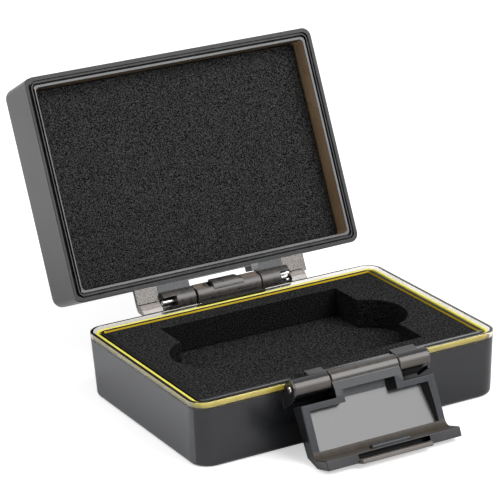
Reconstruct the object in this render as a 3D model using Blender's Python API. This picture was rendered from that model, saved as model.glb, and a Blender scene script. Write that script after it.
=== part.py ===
"""Hinged battery case with foam inserts, a rubber seal and an over-the-top latch.

The frame's origin is the centre of the base's underside. X runs to the right, Y to the back,
where the lid is hinged, and Z up. All lengths are in metres. The case is modelled as it stands
in use: base flat on a table, lid leaning back on its stop, latch hanging with its tip down.
"""
import math

import bmesh
import bpy
from mathutils import Matrix

# Clearances and how far cuts and joined shapes run past each other
FIT_GAP = 0.0003
CUT_OVERRUN = 0.0020
JOIN_OVERLAP = 0.0004

# Base shell
RIM_LENGTH = 0.1000
RIM_DEPTH = 0.0714
BASE_HEIGHT = 0.0200
CORNER_RADIUS = 0.0050
INNER_CORNER_RADIUS = 0.0025
BASE_DRAFT = 0.0004
BASE_EDGE_RADIUS = 0.0014
BASE_FLOOR = 0.0030
RIM_WALL = 0.0008
GROOVE_WIDTH = 0.0024
GROOVE_DEPTH = 0.0028
LIP_WIDTH = 0.0010
LIP_DROP = 0.0005

# Seal
SEAL_HEIGHT = 0.0020
SEAL_ROUNDING = 0.0005

# Foam and the adhesive sheets under it
FOAM_BELOW_RIM = 0.0008
TAPE_THICKNESS = 0.0003
TAPE_MARGIN = 0.0020
FOAM_BESIDE_POCKET = 0.0162
POCKET_DEPTH = 0.0500
POCKET_DROP = 0.0090
POCKET_CORNER_RADIUS = 0.0025
NOTCH_REACH = 0.0082
NOTCH_CHORD = 0.0240

# Lid shell
LID_HEIGHT = 0.0220
LID_EDGE_RADIUS = 0.0020
LID_DRAFT = 0.0003
LID_TOP_WALL = 0.0022
LID_WALL = 0.0022
LID_SEAL_FACE = 0.0025
LID_GROOVE_WIDTH = 0.0005
LID_GROOVE_DEPTH = 0.0006
LID_LIP_WIDTH = 0.0005
PAD_BELOW_RIM = 0.0065
PAD_NOSE = 0.0015

# Lid hinge
HINGE_BEHIND_BASE = 0.0043
HINGE_ABOVE_RIM = 0.00075
OPEN_ANGLE = math.radians(113.33)
PIN_RADIUS = 0.0009
KNURL_RADIUS = 0.00125
HINGE_BARREL_RADIUS = 0.0029
MIDDLE_BARREL_HALF = 0.0110
LEAF_LEFT_END = 0.0301
LEAF_RIGHT_END = 0.0288
LEAF_THICKNESS = 0.0015
OUTER_BARREL_END = 0.0223
PIN_WINDOW = 0.0043
PIN_WINDOW_TILT = math.radians(40)
STOP_LOBE_START = 0.0226
RIGHT_LOBE_END = 0.0265
STOP_LOBE_SIZE = 0.0031
LEAF_GUSSET_THICKNESS = 0.0013
LEAF_GUSSET_HEIGHT = 0.0060
HUMP_HALF = 0.0047
HUMP_SHOULDER = 0.0018
HUMP_HALF_DEPTH = 0.0015
HUMP_RISE = 0.0010
WEB_DROP = 0.0020

# Latch hinge
LATCH_BEFORE_BASE = 0.0035
LATCH_BELOW_RIM = 0.0006
LATCH_OPEN_ANGLE = math.radians(155.8)
LATCH_BARREL_RADIUS = 0.0029
LATCH_PIN_RADIUS = 0.0009
LATCH_NECK_HALF = 0.0110
KNUCKLE_OUTER_END = 0.0220
BRACKET_DROP = 0.0070
RAISED_WEB_HEIGHT = 0.0019
LEFT_WEB_LENGTH = 0.0035
RIGHT_WEB_LENGTH = 0.0082
RAISED_WEB_THICKNESS = 0.0018

# Latch, in its own directions: out towards the case it closes, and up along its length
LATCH_HALF = 0.0218
LATCH_WALL = 0.0018
LATCH_START = 0.0052
LATCH_FACE_OUT = 0.0033
LATCH_BACK = 0.0018
TRAY_FLOOR_OUT = 0.0017
TRAY_END = 0.0026
FLANGE_OUT = 0.0105
FLANGE_THICKNESS = 0.0025
FLANGE_INNER_RISE = 0.0006
FLANGE_OUTER_RISE = 0.0010
FLANGE_BEND_RADIUS = 0.0024
TIP_OUT = 0.0040
TIP_ROUNDING = 0.0005
TIP_CHAMFER_UP = 0.0035
LATCH_BACK_END = 0.0004
NECK_WALL = 0.0024
NECK_TRAY_START = 0.0033
RIDGE_HALF = 0.0063
RIDGE_RADIUS = 0.0008
RIDGE_DROP = 0.0006
RIDGE_FROM_END = 0.00185
FINGER_LIP_HALF = 0.0110
FINGER_LIP_REACH = 0.0015
FINGER_LIP_THICKNESS = 0.0009
SCOOP_DEPTH = 0.0028
SCOOP_SKIN = 0.0007

# Seat of the latch in the lid's top
SEAT_DEPTH = 0.0020
SEAT_SIDE_GAP = 0.0005
SEAT_CHAMFER = 0.0010
SEAT_WALL = 0.0012
RIDGE_SWING_ROOM = 0.0011

# How finely round shapes are divided
CORNER_STEPS = 6
EDGE_STEPS = 3
ROUND_SEGMENTS = 28

# Outline of a stop lobe, as shares of its size, from the leaf's underside round to its top
STOP_LOBE_SHARES = (
    (-0.33, -0.14), (0.17, -0.60), (0.84, -1.02), (0.84, -0.72), (0.66, -0.30),
    (0.42, 0.15), (0.10, 0.33),
)

# Places worked out from the sizes above
SEAL_BOTTOM = BASE_HEIGHT - GROOVE_DEPTH + FIT_GAP
SEAL_TOP = SEAL_BOTTOM + SEAL_HEIGHT
LIP_TOP = min(BASE_HEIGHT - LIP_DROP, SEAL_TOP)
CAVITY_INSET = RIM_WALL + GROOVE_WIDTH + LIP_WIDTH
FOAM_INSET = CAVITY_INSET + FIT_GAP
FOAM_TOP = BASE_HEIGHT - FOAM_BELOW_RIM
POCKET_LENGTH = RIM_LENGTH - 2 * (FOAM_INSET + FOAM_BESIDE_POCKET)
POCKET_FLOOR = FOAM_TOP - POCKET_DROP
LID_INSET = RIM_WALL + FIT_GAP
LID_RIM = SEAL_TOP + FIT_GAP
LID_TOP = LID_RIM + LID_HEIGHT
LID_CEILING = LID_TOP - LID_TOP_WALL
LID_CAVITY_INSET = LID_INSET + LID_SEAL_FACE + LID_GROOVE_WIDTH + LID_LIP_WIDTH
PAD_INSET = LID_CAVITY_INSET + FIT_GAP
PAD_FACE = LID_RIM + PAD_BELOW_RIM
LID_WIDE_INSET = LID_INSET + LID_WALL
LID_WIDE_START = PAD_FACE + PAD_NOSE
LID_BACK = RIM_DEPTH / 2 - LID_INSET
HINGE_Y = RIM_DEPTH / 2 + HINGE_BEHIND_BASE
HINGE_Z = BASE_HEIGHT + HINGE_ABOVE_RIM
LATCH_Y = -RIM_DEPTH / 2 - LATCH_BEFORE_BASE
LATCH_Z = BASE_HEIGHT - LATCH_BELOW_RIM
LEAF_BOTTOM = BASE_HEIGHT + FIT_GAP
LEAF_TOP = LEAF_BOTTOM + LEAF_THICKNESS
OUTER_BARREL_START = MIDDLE_BARREL_HALF + FIT_GAP
KNUCKLE_START = LATCH_NECK_HALF + FIT_GAP
SEAT_FLOOR = LID_TOP - SEAT_DEPTH
SEAT_BACK = LATCH_Y + FLANGE_OUT + FINGER_LIP_REACH + SEAT_SIDE_GAP
FLANGE_INNER = SEAT_FLOOR + FIT_GAP - LATCH_Z
FLANGE_OUTER = FLANGE_INNER + FLANGE_THICKNESS
RIDGE_OUT = FLANGE_OUT - RIDGE_FROM_END


def clear_scene():
    """Remove every object that the file holds."""
    for item in list(bpy.data.objects):
        bpy.data.objects.remove(item)


def plastic(name, colour, roughness, metallic=0.0):
    """Make a material with one plain colour."""
    made = bpy.data.materials.new(name)
    made.use_nodes = True
    shader = made.node_tree.nodes["Principled BSDF"]
    shader.inputs["Base Color"].default_value = (*colour, 1)
    shader.inputs["Roughness"].default_value = roughness
    shader.inputs["Metallic"].default_value = metallic
    return made


def solid(name, mesh_data, material=None):
    """Put a finished bmesh into a new object of the scene."""
    bmesh.ops.recalc_face_normals(mesh_data, faces=mesh_data.faces)
    mesh = bpy.data.meshes.new(name)
    mesh_data.to_mesh(mesh)
    mesh_data.free()
    made = bpy.data.objects.new(name, mesh)
    bpy.context.scene.collection.objects.link(made)
    if material:
        made.data.materials.append(material)
    return made


def rounded_ring(inset, height):
    """Give the points of a rounded rectangle, inset from the base's rim, at one height."""
    half_x = RIM_LENGTH / 2 - inset
    half_y = RIM_DEPTH / 2 - inset
    radius = max(CORNER_RADIUS - inset, INNER_CORNER_RADIUS)
    points = []
    for corner, (side_x, side_y) in enumerate(((1, 1), (-1, 1), (-1, -1), (1, -1))):
        for step in range(CORNER_STEPS + 1):
            angle = math.radians(90 * (corner + step / CORNER_STEPS))
            x = side_x * (half_x - radius) + radius * math.cos(angle)
            y = side_y * (half_y - radius) + radius * math.sin(angle)
            points.append((x, y, height))
    return points


def loft(name, sections, material=None, is_ring=False):
    """Skin a stack of (inset, height) rings, capped at both ends or closed on itself."""
    shape = bmesh.new()
    rings = [[shape.verts.new(point) for point in rounded_ring(*section)] for section in sections]
    pairs = list(zip(rings, rings[1:]))
    if is_ring:
        pairs.append((rings[-1], rings[0]))
    else:
        shape.faces.new(rings[0])
        shape.faces.new(rings[-1])
    for lower, upper in pairs:
        for here in range(len(lower)):
            following = (here + 1) % len(lower)
            shape.faces.new((lower[here], lower[following], upper[following], upper[here]))
    return solid(name, shape, material)


def prism(name, outline, start, end):
    """Extrude an outline of (y, z) points along X."""
    shape = bmesh.new()
    face = shape.faces.new([shape.verts.new((start, y, z)) for y, z in outline])
    grown = bmesh.ops.extrude_face_region(shape, geom=[face])
    moved = [item for item in grown["geom"] if isinstance(item, bmesh.types.BMVert)]
    bmesh.ops.translate(shape, verts=moved, vec=(end - start, 0, 0))
    return solid(name, shape)


def box(name, x_range, y_range, z_range):
    """Make a block between three pairs of limits."""
    outline = ((y_range[0], z_range[0]), (y_range[1], z_range[0]),
               (y_range[1], z_range[1]), (y_range[0], z_range[1]))
    return prism(name, outline, *x_range)


def rod(name, radius, start, end, y, z):
    """Make a cylinder along X."""
    outline = []
    for step in range(ROUND_SEGMENTS):
        angle = 2 * math.pi * step / ROUND_SEGMENTS
        outline.append((y + radius * math.cos(angle), z + radius * math.sin(angle)))
    return prism(name, outline, start, end)


def turned_up(shape):
    """Turn a shape made along X so that it stands along Z."""
    shape.data.transform(Matrix.Rotation(-math.pi / 2, 4, "Y"))
    return shape


def combine(body, tool, operation):
    """Join a tool to a body or cut it away, and take the tool out of the scene."""
    tool.hide_render = True
    tool.display_type = "WIRE"
    step = body.modifiers.new(operation.title(), "BOOLEAN")
    step.operation = operation
    step.solver = "EXACT"
    step.object = tool
    bpy.context.view_layer.update()
    finished = body.evaluated_get(bpy.context.evaluated_depsgraph_get())
    result = bpy.data.meshes.new_from_object(finished)
    body.modifiers.clear()
    body.data = result
    bpy.data.objects.remove(tool)


def join(body, tool):
    combine(body, tool, "UNION")


def cut(body, tool):
    combine(body, tool, "DIFFERENCE")


def finish(body, angle=math.radians(35)):
    """Shade a piece smooth apart from its real edges."""
    body.data.shade_smooth()
    body.data.set_sharp_from_angle(angle=angle)


def both_sides(start, end):
    """Give a span of X and its mirror image on the other side."""
    return ((start, end), (-end, -start))


def seal_groove_sections():
    """Give the rim's profile, from its outer edge over the groove to the inner lip."""
    inner_edge = RIM_WALL + GROOVE_WIDTH
    return [(0, BASE_HEIGHT), (RIM_WALL, BASE_HEIGHT), (RIM_WALL, BASE_HEIGHT - GROOVE_DEPTH),
            (inner_edge, BASE_HEIGHT - GROOVE_DEPTH), (inner_edge, LIP_TOP), (CAVITY_INSET, LIP_TOP)]


def make_base_shell(material):
    """The lower half: a drafted box with a seal groove, a hinge barrel and two latch knuckles."""
    sections = []
    for step in range(EDGE_STEPS + 1):
        angle = math.radians(90 * step / EDGE_STEPS)
        inset = BASE_DRAFT + BASE_EDGE_RADIUS * (1 - math.sin(angle))
        sections.append((inset, BASE_EDGE_RADIUS * (1 - math.cos(angle))))
    sections += seal_groove_sections()
    sections.append((CAVITY_INSET, BASE_FLOOR))
    shell = loft("base_shell", sections, material)
    add_hinge_barrel(shell)
    for start, end in both_sides(KNUCKLE_START, KNUCKLE_OUTER_END):
        add_latch_knuckle(shell, start, end)
    bore = LATCH_PIN_RADIUS + FIT_GAP
    reach = KNUCKLE_OUTER_END + CUT_OVERRUN
    for start, end in both_sides(KNUCKLE_START - CUT_OVERRUN, reach):
        cut(shell, rod("latch_bore", bore, start, end, LATCH_Y, LATCH_Z))
    finish(shell)
    return shell


def add_hinge_barrel(shell):
    """The base's middle hinge barrel, its web to the back wall and the hump on top of it."""
    half = MIDDLE_BARREL_HALF
    wall = RIM_DEPTH / 2 - JOIN_OVERLAP
    low = HINGE_Z - HINGE_BARREL_RADIUS
    web = ((wall, BASE_HEIGHT), (wall, low - WEB_DROP), (HINGE_Y, low + JOIN_OVERLAP),
           (HINGE_Y, BASE_HEIGHT))
    join(shell, prism("hinge_web", web, -half, half))
    barrel = rod("hinge_barrel", HINGE_BARREL_RADIUS, -half, half, HINGE_Y, HINGE_Z)
    hump_top = HINGE_Z + HINGE_BARREL_RADIUS + HUMP_RISE
    front = HINGE_Y - HUMP_HALF_DEPTH
    back = HINGE_Y + HUMP_HALF_DEPTH
    hump = box("hinge_hump", (-HUMP_HALF, HUMP_HALF), (front, back), (HINGE_Z, hump_top))
    for vertex in hump.data.vertices:
        if vertex.co.z < hump_top - JOIN_OVERLAP:
            vertex.co.x += math.copysign(HUMP_SHOULDER, vertex.co.x)
    join(barrel, hump)
    join(shell, barrel)
    reach = half + CUT_OVERRUN
    cut(shell, rod("hinge_bore", PIN_RADIUS + FIT_GAP, -reach, reach, HINGE_Y, HINGE_Z))


def add_latch_knuckle(shell, start, end):
    """One latch knuckle on its triangular bracket, with a raised web behind its inner part."""
    wall = -RIM_DEPTH / 2 + JOIN_OVERLAP
    low = LATCH_Z - LATCH_BARREL_RADIUS
    bracket = ((wall, BASE_HEIGHT), (wall, BASE_HEIGHT - BRACKET_DROP),
               (LATCH_Y - LATCH_BARREL_RADIUS / 2, low + JOIN_OVERLAP), (LATCH_Y, BASE_HEIGHT))
    knuckle = rod("latch_knuckle", LATCH_BARREL_RADIUS, start, end, LATCH_Y, LATCH_Z)
    join(knuckle, prism("latch_bracket", bracket, start, end))
    if start > 0:
        web_span = (start, start + RIGHT_WEB_LENGTH)
    else:
        web_span = (end - LEFT_WEB_LENGTH, end)
    top = BASE_HEIGHT + RAISED_WEB_HEIGHT
    back = -RIM_DEPTH / 2 + RIM_WALL / 2
    front = LATCH_Y
    web = ((back, BASE_HEIGHT - RAISED_WEB_THICKNESS), (back, top),
           (front, LATCH_Z + LATCH_BARREL_RADIUS), (front, LATCH_Z))
    join(knuckle, prism("raised_web", web, *web_span))
    join(shell, knuckle)


def make_seal(material):
    """The rubber ring in the rim's groove, with its upper edges rounded."""
    outer = RIM_WALL + FIT_GAP
    inner = RIM_WALL + GROOVE_WIDTH - FIT_GAP
    shoulder = SEAL_TOP - SEAL_ROUNDING
    sections = [(outer, SEAL_BOTTOM), (outer, shoulder), (outer + SEAL_ROUNDING, SEAL_TOP),
                (inner - SEAL_ROUNDING, SEAL_TOP), (inner, shoulder), (inner, SEAL_BOTTOM)]
    ring = loft("seal_ring", sections, material, is_ring=True)
    finish(ring)
    return ring


def pocket_cutter():
    """The battery pocket with rounded corners and a round finger notch at each end."""
    bottom = POCKET_FLOOR - CUT_OVERRUN
    top = FOAM_TOP + CUT_OVERRUN
    half_x = POCKET_LENGTH / 2
    half_y = POCKET_DEPTH / 2
    radius = (NOTCH_CHORD ** 2 / 4 + NOTCH_REACH ** 2) / (2 * NOTCH_REACH)
    centre = half_x + NOTCH_REACH - radius
    block = box("pocket", (-half_x, half_x), (-half_y, half_y), (bottom, top))
    rounding = block.modifiers.new("Corners", "BEVEL")
    rounding.width = POCKET_CORNER_RADIUS
    rounding.segments = EDGE_STEPS
    rounding.limit_method = "WEIGHT"
    weights = block.data.attributes.new("bevel_weight_edge", "FLOAT", "EDGE")
    for edge in block.data.edges:
        low, high = (block.data.vertices[index].co for index in edge.vertices)
        weights.data[edge.index].value = 1.0 if low.xy == high.xy else 0.0
    for side in (1, -1):
        join(block, turned_up(rod("notch", radius, bottom, top, 0, side * centre)))
    return block


def make_base_foam(material):
    """The two foam layers of the base: the one with the pocket, and the plain one below it."""
    floor_bottom = BASE_FLOOR + TAPE_THICKNESS + 2 * FIT_GAP
    floor_top = POCKET_FLOOR - FIT_GAP
    lower = loft("base_foam_floor", [(FOAM_INSET, floor_bottom), (FOAM_INSET, floor_top)], material)
    upper = loft("base_foam_tray", [(FOAM_INSET, POCKET_FLOOR), (FOAM_INSET, FOAM_TOP)], material)
    cut(upper, pocket_cutter())
    finish(lower)
    finish(upper)
    return lower, upper


def make_tape(name, inset, bottom, material):
    """A thin adhesive sheet."""
    margin = inset + TAPE_MARGIN
    sheet = loft(name, [(margin, bottom), (margin, bottom + TAPE_THICKNESS)], material)
    finish(sheet)
    return sheet


def make_lid_shell(material):
    """The upper half, modelled closed: shell, hinge leaf, barrels, stop lobes and latch seat."""
    side = LID_INSET + LID_DRAFT
    sections = []
    for step in range(EDGE_STEPS + 1):
        angle = math.radians(90 * step / EDGE_STEPS)
        inset = side + LID_EDGE_RADIUS * (1 - math.sin(angle))
        sections.append((inset, LID_TOP - LID_EDGE_RADIUS * (1 - math.cos(angle))))
    groove_start = LID_INSET + LID_SEAL_FACE
    groove_end = groove_start + LID_GROOVE_WIDTH
    groove_floor = LID_RIM + LID_GROOVE_DEPTH
    sections += [(LID_INSET, LID_RIM), (groove_start, LID_RIM), (groove_start, groove_floor),
                 (groove_end, groove_floor), (groove_end, LID_RIM), (LID_CAVITY_INSET, LID_RIM),
                 (LID_CAVITY_INSET, LID_WIDE_START), (LID_WIDE_INSET, LID_WIDE_START),
                 (LID_WIDE_INSET, LID_CEILING)]
    shell = loft("lid_shell", sections, material)
    join(shell, seat_boss(0))
    add_hinge_leaf(shell)
    cut_latch_seat(shell)
    finish(shell)
    return shell


def add_hinge_leaf(shell):
    """The leaf behind the lid, with two barrels, two stop lobes and two gussets."""
    near = LID_BACK - JOIN_OVERLAP
    leaf_span = (-LEAF_LEFT_END, LEAF_RIGHT_END)
    leaf = box("leaf", leaf_span, (near, HINGE_Y), (LEAF_BOTTOM, LEAF_TOP))
    for start, end in both_sides(OUTER_BARREL_START, OUTER_BARREL_END):
        join(leaf, rod("barrel", HINGE_BARREL_RADIUS, start, end, HINGE_Y, HINGE_Z))
    lobe = [(HINGE_Y + STOP_LOBE_SIZE * out, HINGE_Z + STOP_LOBE_SIZE * up)
            for out, up in STOP_LOBE_SHARES]
    for start, end in ((-LEAF_LEFT_END, -STOP_LOBE_START), (STOP_LOBE_START, RIGHT_LOBE_END)):
        join(leaf, prism("lobe", lobe, start, end))
    gusset = ((near, LEAF_TOP - JOIN_OVERLAP), (near, LEAF_TOP + LEAF_GUSSET_HEIGHT),
              (HINGE_Y - HINGE_BARREL_RADIUS / 2, LEAF_TOP - JOIN_OVERLAP))
    for start, end in both_sides(OUTER_BARREL_START, OUTER_BARREL_START + LEAF_GUSSET_THICKNESS):
        join(leaf, prism("gusset", gusset, start, end))
    below = HINGE_Z - HINGE_BARREL_RADIUS - CUT_OVERRUN
    above = LEAF_TOP + CUT_OVERRUN
    behind = HINGE_Y + HINGE_BARREL_RADIUS + CUT_OVERRUN
    window = (-OUTER_BARREL_START, OUTER_BARREL_START)
    cut(leaf, box("window", window, (LID_BACK + FIT_GAP, behind), (below, above)))
    cut_pin_room(leaf)
    join(shell, leaf)


def cut_pin_room(leaf):
    """The bore of the pin, and the window that shows each end of it."""
    reach = OUTER_BARREL_END + FIT_GAP / 2
    cut(leaf, rod("bore", PIN_RADIUS + FIT_GAP, -reach, reach, HINGE_Y, HINGE_Z))
    window_start = OUTER_BARREL_END - PIN_WINDOW
    knurl_bore = KNURL_RADIUS + FIT_GAP
    cut(leaf, rod("knurl_bore", knurl_bore, window_start, reach, HINGE_Y, HINGE_Z))
    size = HINGE_BARREL_RADIUS + CUT_OVERRUN
    for start, end in both_sides(window_start, reach):
        opening = box("pin_window", (start, end), (-size, size), (-size, 0))
        opening.data.transform(Matrix.Rotation(PIN_WINDOW_TILT, 4, "X"))
        opening.data.transform(Matrix.Translation((0, HINGE_Y, HINGE_Z)))
        cut(leaf, opening)


def seat_boss(gap):
    """The thicker ceiling under the latch's seat, or with a gap the room that the pad leaves it."""
    half = LATCH_HALF + SEAT_SIDE_GAP + SEAT_WALL + gap
    front = -RIM_DEPTH / 2 + LID_WIDE_INSET - JOIN_OVERLAP
    bottom = SEAT_FLOOR - RIDGE_DROP - SEAT_WALL - gap
    top = LID_CEILING + JOIN_OVERLAP
    return box("seat_boss", (-half, half), (front, SEAT_BACK + SEAT_WALL + gap), (bottom, top))


def cut_latch_seat(shell):
    """The step in the lid's top edge that the latch hooks over, with a groove for its ridge."""
    half = LATCH_HALF + SEAT_SIDE_GAP
    front = -RIM_DEPTH / 2 - CUT_OVERRUN
    wall = -RIM_DEPTH / 2 + LID_INSET
    above = LID_TOP + CUT_OVERRUN
    seat = ((front, SEAT_FLOOR - SEAT_CHAMFER), (wall, SEAT_FLOOR - SEAT_CHAMFER),
            (wall + SEAT_CHAMFER, SEAT_FLOOR), (SEAT_BACK, SEAT_FLOOR), (SEAT_BACK, above),
            (front, above))
    cut(shell, prism("seat", seat, -half, half))
    ridge_half = RIDGE_HALF + SEAT_SIDE_GAP
    groove_back = LATCH_Y + RIDGE_OUT + RIDGE_RADIUS + SEAT_SIDE_GAP
    groove_front = LATCH_Y + RIDGE_OUT - RIDGE_RADIUS - RIDGE_SWING_ROOM
    cut(shell, box("ridge_groove", (-ridge_half, ridge_half), (groove_front, groove_back),
                   (SEAT_FLOOR - RIDGE_DROP, above)))


def make_lid_pad(material, tape_material):
    """The foam pad, whose nose fills the opening within the rim, and the sheet that holds it."""
    tape_bottom = LID_CEILING - FIT_GAP - TAPE_THICKNESS
    shoulder = LID_WIDE_START + FIT_GAP
    wide = LID_WIDE_INSET + FIT_GAP
    sections = [(PAD_INSET, PAD_FACE), (PAD_INSET, shoulder), (wide, shoulder),
                (wide, tape_bottom - FIT_GAP)]
    pad = loft("lid_foam_pad", sections, material)
    tape = make_tape("lid_foam_tape", wide, tape_bottom, tape_material)
    for piece in (pad, tape):
        cut(piece, seat_boss(FIT_GAP))
        finish(piece)
    return pad, tape


def latch_outline():
    """The latch's side view, as (out, up) points from its axis."""
    bend = []
    bend_centre = (LATCH_FACE_OUT + FLANGE_BEND_RADIUS, FLANGE_INNER - FLANGE_BEND_RADIUS)
    for step in range(EDGE_STEPS + 1):
        angle = math.radians(90 + 90 * step / EDGE_STEPS)
        bend.append((bend_centre[0] + FLANGE_BEND_RADIUS * math.cos(angle),
                     bend_centre[1] + FLANGE_BEND_RADIUS * math.sin(angle)))
    back = [(-LATCH_BACK, LATCH_START), (-LATCH_BACK_END, FLANGE_OUTER - TIP_CHAMFER_UP),
            (TIP_OUT - TIP_ROUNDING, FLANGE_OUTER - TIP_ROUNDING),
            (TIP_OUT + TIP_ROUNDING, FLANGE_OUTER),
            (FLANGE_OUT, FLANGE_OUTER + FLANGE_OUTER_RISE),
            (FLANGE_OUT, FLANGE_INNER + FLANGE_INNER_RISE)]
    return back + bend + [(LATCH_FACE_OUT, LATCH_START)]


def placed(outline):
    """Move an (out, up) outline to the closed latch's place."""
    return [(LATCH_Y + out, LATCH_Z + up) for out, up in outline]


def make_latch(material):
    """The latch, modelled closed: hollow tray, neck with its barrel, flange, ridge and lip."""
    half = LATCH_HALF
    latch = prism("latch", placed(latch_outline()), -half, half)
    latch.data.materials.append(material)
    neck = ((-LATCH_BACK, 0), (-LATCH_BACK, LATCH_START + JOIN_OVERLAP),
            (LATCH_FACE_OUT, LATCH_START + JOIN_OVERLAP), (LATCH_FACE_OUT, LATCH_BARREL_RADIUS),
            (LATCH_BARREL_RADIUS - JOIN_OVERLAP, 0))
    join(latch, prism("neck", placed(neck), -LATCH_NECK_HALF, LATCH_NECK_HALF))
    barrel_span = (-LATCH_NECK_HALF, LATCH_NECK_HALF)
    join(latch, rod("barrel", LATCH_BARREL_RADIUS, *barrel_span, LATCH_Y, LATCH_Z))
    cut_latch_tray(latch)
    add_flange_details(latch)
    reach = LATCH_NECK_HALF + CUT_OVERRUN
    cut(latch, rod("bore", LATCH_PIN_RADIUS + FIT_GAP, -reach, reach, LATCH_Y, LATCH_Z))
    finish(latch)
    return latch


def cut_latch_tray(latch):
    """The hollow in the latch's inner side, which runs up into the neck."""
    open_side = LATCH_FACE_OUT + CUT_OVERRUN
    start = LATCH_START + LATCH_WALL
    end = FLANGE_INNER - TRAY_END
    tray = ((0, start), (TRAY_FLOOR_OUT, end), (open_side, end), (open_side, start))
    half = LATCH_HALF - LATCH_WALL
    cut(latch, prism("tray", placed(tray), -half, half))
    neck_half = LATCH_NECK_HALF - NECK_WALL
    neck = ((0, NECK_TRAY_START), (0, start + JOIN_OVERLAP), (open_side, start + JOIN_OVERLAP),
            (open_side, NECK_TRAY_START))
    cut(latch, prism("neck_tray", placed(neck), -neck_half, neck_half))


def add_flange_details(latch):
    """The hook ridge under the flange, and the scooped finger lip at its end."""
    ridge_z = LATCH_Z + FLANGE_INNER - RIDGE_DROP + RIDGE_RADIUS
    join(latch, rod("ridge", RIDGE_RADIUS, -RIDGE_HALF, RIDGE_HALF, LATCH_Y + RIDGE_OUT, ridge_z))
    top = FLANGE_OUTER + FLANGE_OUTER_RISE
    lip = ((FLANGE_OUT - CUT_OVERRUN, top - JOIN_OVERLAP / 2),
           (FLANGE_OUT + FINGER_LIP_REACH, top + FINGER_LIP_THICKNESS / 2),
           (FLANGE_OUT + FINGER_LIP_REACH, top - FINGER_LIP_THICKNESS / 2),
           (FLANGE_OUT - CUT_OVERRUN, top - FINGER_LIP_THICKNESS))
    join(latch, prism("lip", placed(lip), -FINGER_LIP_HALF, FINGER_LIP_HALF))
    scoop_low = FLANGE_INNER + FLANGE_INNER_RISE + SCOOP_SKIN
    scoop_high = top - SCOOP_SKIN
    inner = FLANGE_OUT - SCOOP_DEPTH
    outer = FLANGE_OUT + CUT_OVERRUN
    scoop = ((inner, scoop_low), (outer, scoop_low), (outer, scoop_high), (inner, scoop_high))
    half = FINGER_LIP_HALF - SCOOP_SKIN
    cut(latch, prism("scoop", placed(scoop), -half, half))


def make_pins(material):
    """The hinge pin with its thicker knurled end, and the plain latch pin."""
    reach = OUTER_BARREL_END - FIT_GAP
    hinge_pin = rod("hinge_pin", PIN_RADIUS, -reach, reach, HINGE_Y, HINGE_Z)
    hinge_pin.data.materials.append(material)
    knurl_start = OUTER_BARREL_END - PIN_WINDOW + FIT_GAP
    join(hinge_pin, rod("knurl", KNURL_RADIUS, knurl_start, reach, HINGE_Y, HINGE_Z))
    latch_reach = KNUCKLE_OUTER_END - FIT_GAP
    latch_pin = rod("latch_pin", LATCH_PIN_RADIUS, -latch_reach, latch_reach, LATCH_Y, LATCH_Z)
    latch_pin.data.materials.append(material)
    for pin in (hinge_pin, latch_pin):
        finish(pin)
    return hinge_pin, latch_pin


def hang(pieces, name, axis_y, axis_z, angle):
    """Parent closed pieces to an empty on their joint's axis, and turn it to the rest angle."""
    pivot = bpy.data.objects.new(name, None)
    bpy.context.scene.collection.objects.link(pivot)
    pivot.location = (0, axis_y, axis_z)
    pivot.rotation_euler = (angle, 0, 0)
    for piece in pieces:
        piece.data.transform(Matrix.Translation((0, -axis_y, -axis_z)))
        piece.parent = pivot


def build():
    """Make every piece and set the moving ones to where they rest."""
    clear_scene()
    smoke = plastic("smoke_plastic", (0.10, 0.10, 0.11), 0.28)
    foam = plastic("charcoal_foam", (0.022, 0.022, 0.022), 0.95)
    rubber = plastic("yellow_rubber", (0.80, 0.72, 0.10), 0.45)
    steel = plastic("pin_steel", (0.75, 0.74, 0.72), 0.25, 1.0)
    adhesive = plastic("adhesive_sheet", (0.75, 0.75, 0.72), 0.6)
    make_base_shell(smoke)
    make_seal(rubber)
    make_base_foam(foam)
    make_tape("base_foam_tape", FOAM_INSET, BASE_FLOOR + FIT_GAP, adhesive)
    make_pins(steel)
    lid = make_lid_shell(smoke)
    pad, pad_tape = make_lid_pad(foam, adhesive)
    hang((lid, pad, pad_tape), "lid_axis", HINGE_Y, HINGE_Z, -OPEN_ANGLE)
    hang((make_latch(smoke),), "latch_axis", LATCH_Y, LATCH_Z, LATCH_OPEN_ANGLE)


build()
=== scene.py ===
"""Looks of a hinged battery case with foam inserts, a rubber seal and an over-the-top latch.

All lengths are in metres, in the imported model's frame: the origin is the centre of the base's
underside, X runs to the right along the hinge, Y to the back and Z up. Pieces of the lid and of
the latch are shaped as they stand when the case is closed, and then swung to where they rest.
"""
import math

import bpy
from mathutils import Matrix, Vector


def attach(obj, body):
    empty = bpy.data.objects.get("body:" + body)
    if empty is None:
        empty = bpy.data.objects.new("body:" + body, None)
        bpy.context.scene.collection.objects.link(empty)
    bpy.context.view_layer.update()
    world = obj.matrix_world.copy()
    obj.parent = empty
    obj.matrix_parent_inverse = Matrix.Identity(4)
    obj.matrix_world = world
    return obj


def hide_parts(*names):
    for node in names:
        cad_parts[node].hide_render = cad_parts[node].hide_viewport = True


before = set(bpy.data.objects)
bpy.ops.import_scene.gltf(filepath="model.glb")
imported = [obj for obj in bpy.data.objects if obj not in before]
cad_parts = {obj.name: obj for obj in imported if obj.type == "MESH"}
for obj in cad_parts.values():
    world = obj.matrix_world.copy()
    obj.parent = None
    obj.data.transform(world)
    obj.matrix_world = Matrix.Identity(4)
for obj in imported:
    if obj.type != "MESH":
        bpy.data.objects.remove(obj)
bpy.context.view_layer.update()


# Base shell
# The lower half of the case: one smoke-grey moulding with a groove for the seal behind a thin
# clear rim, and a low lip that keeps the foam in. The middle hinge barrel at the back and the two
# latch knuckles at the front are moulded on.
RIM_HALF_X = 0.0500
RIM_HALF_Y = 0.0357
RIM_CORNER = 0.0050
RIM_WALL = 0.00095
RIM_BAND = 0.0010
BASE_TOP = 0.0200
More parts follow.
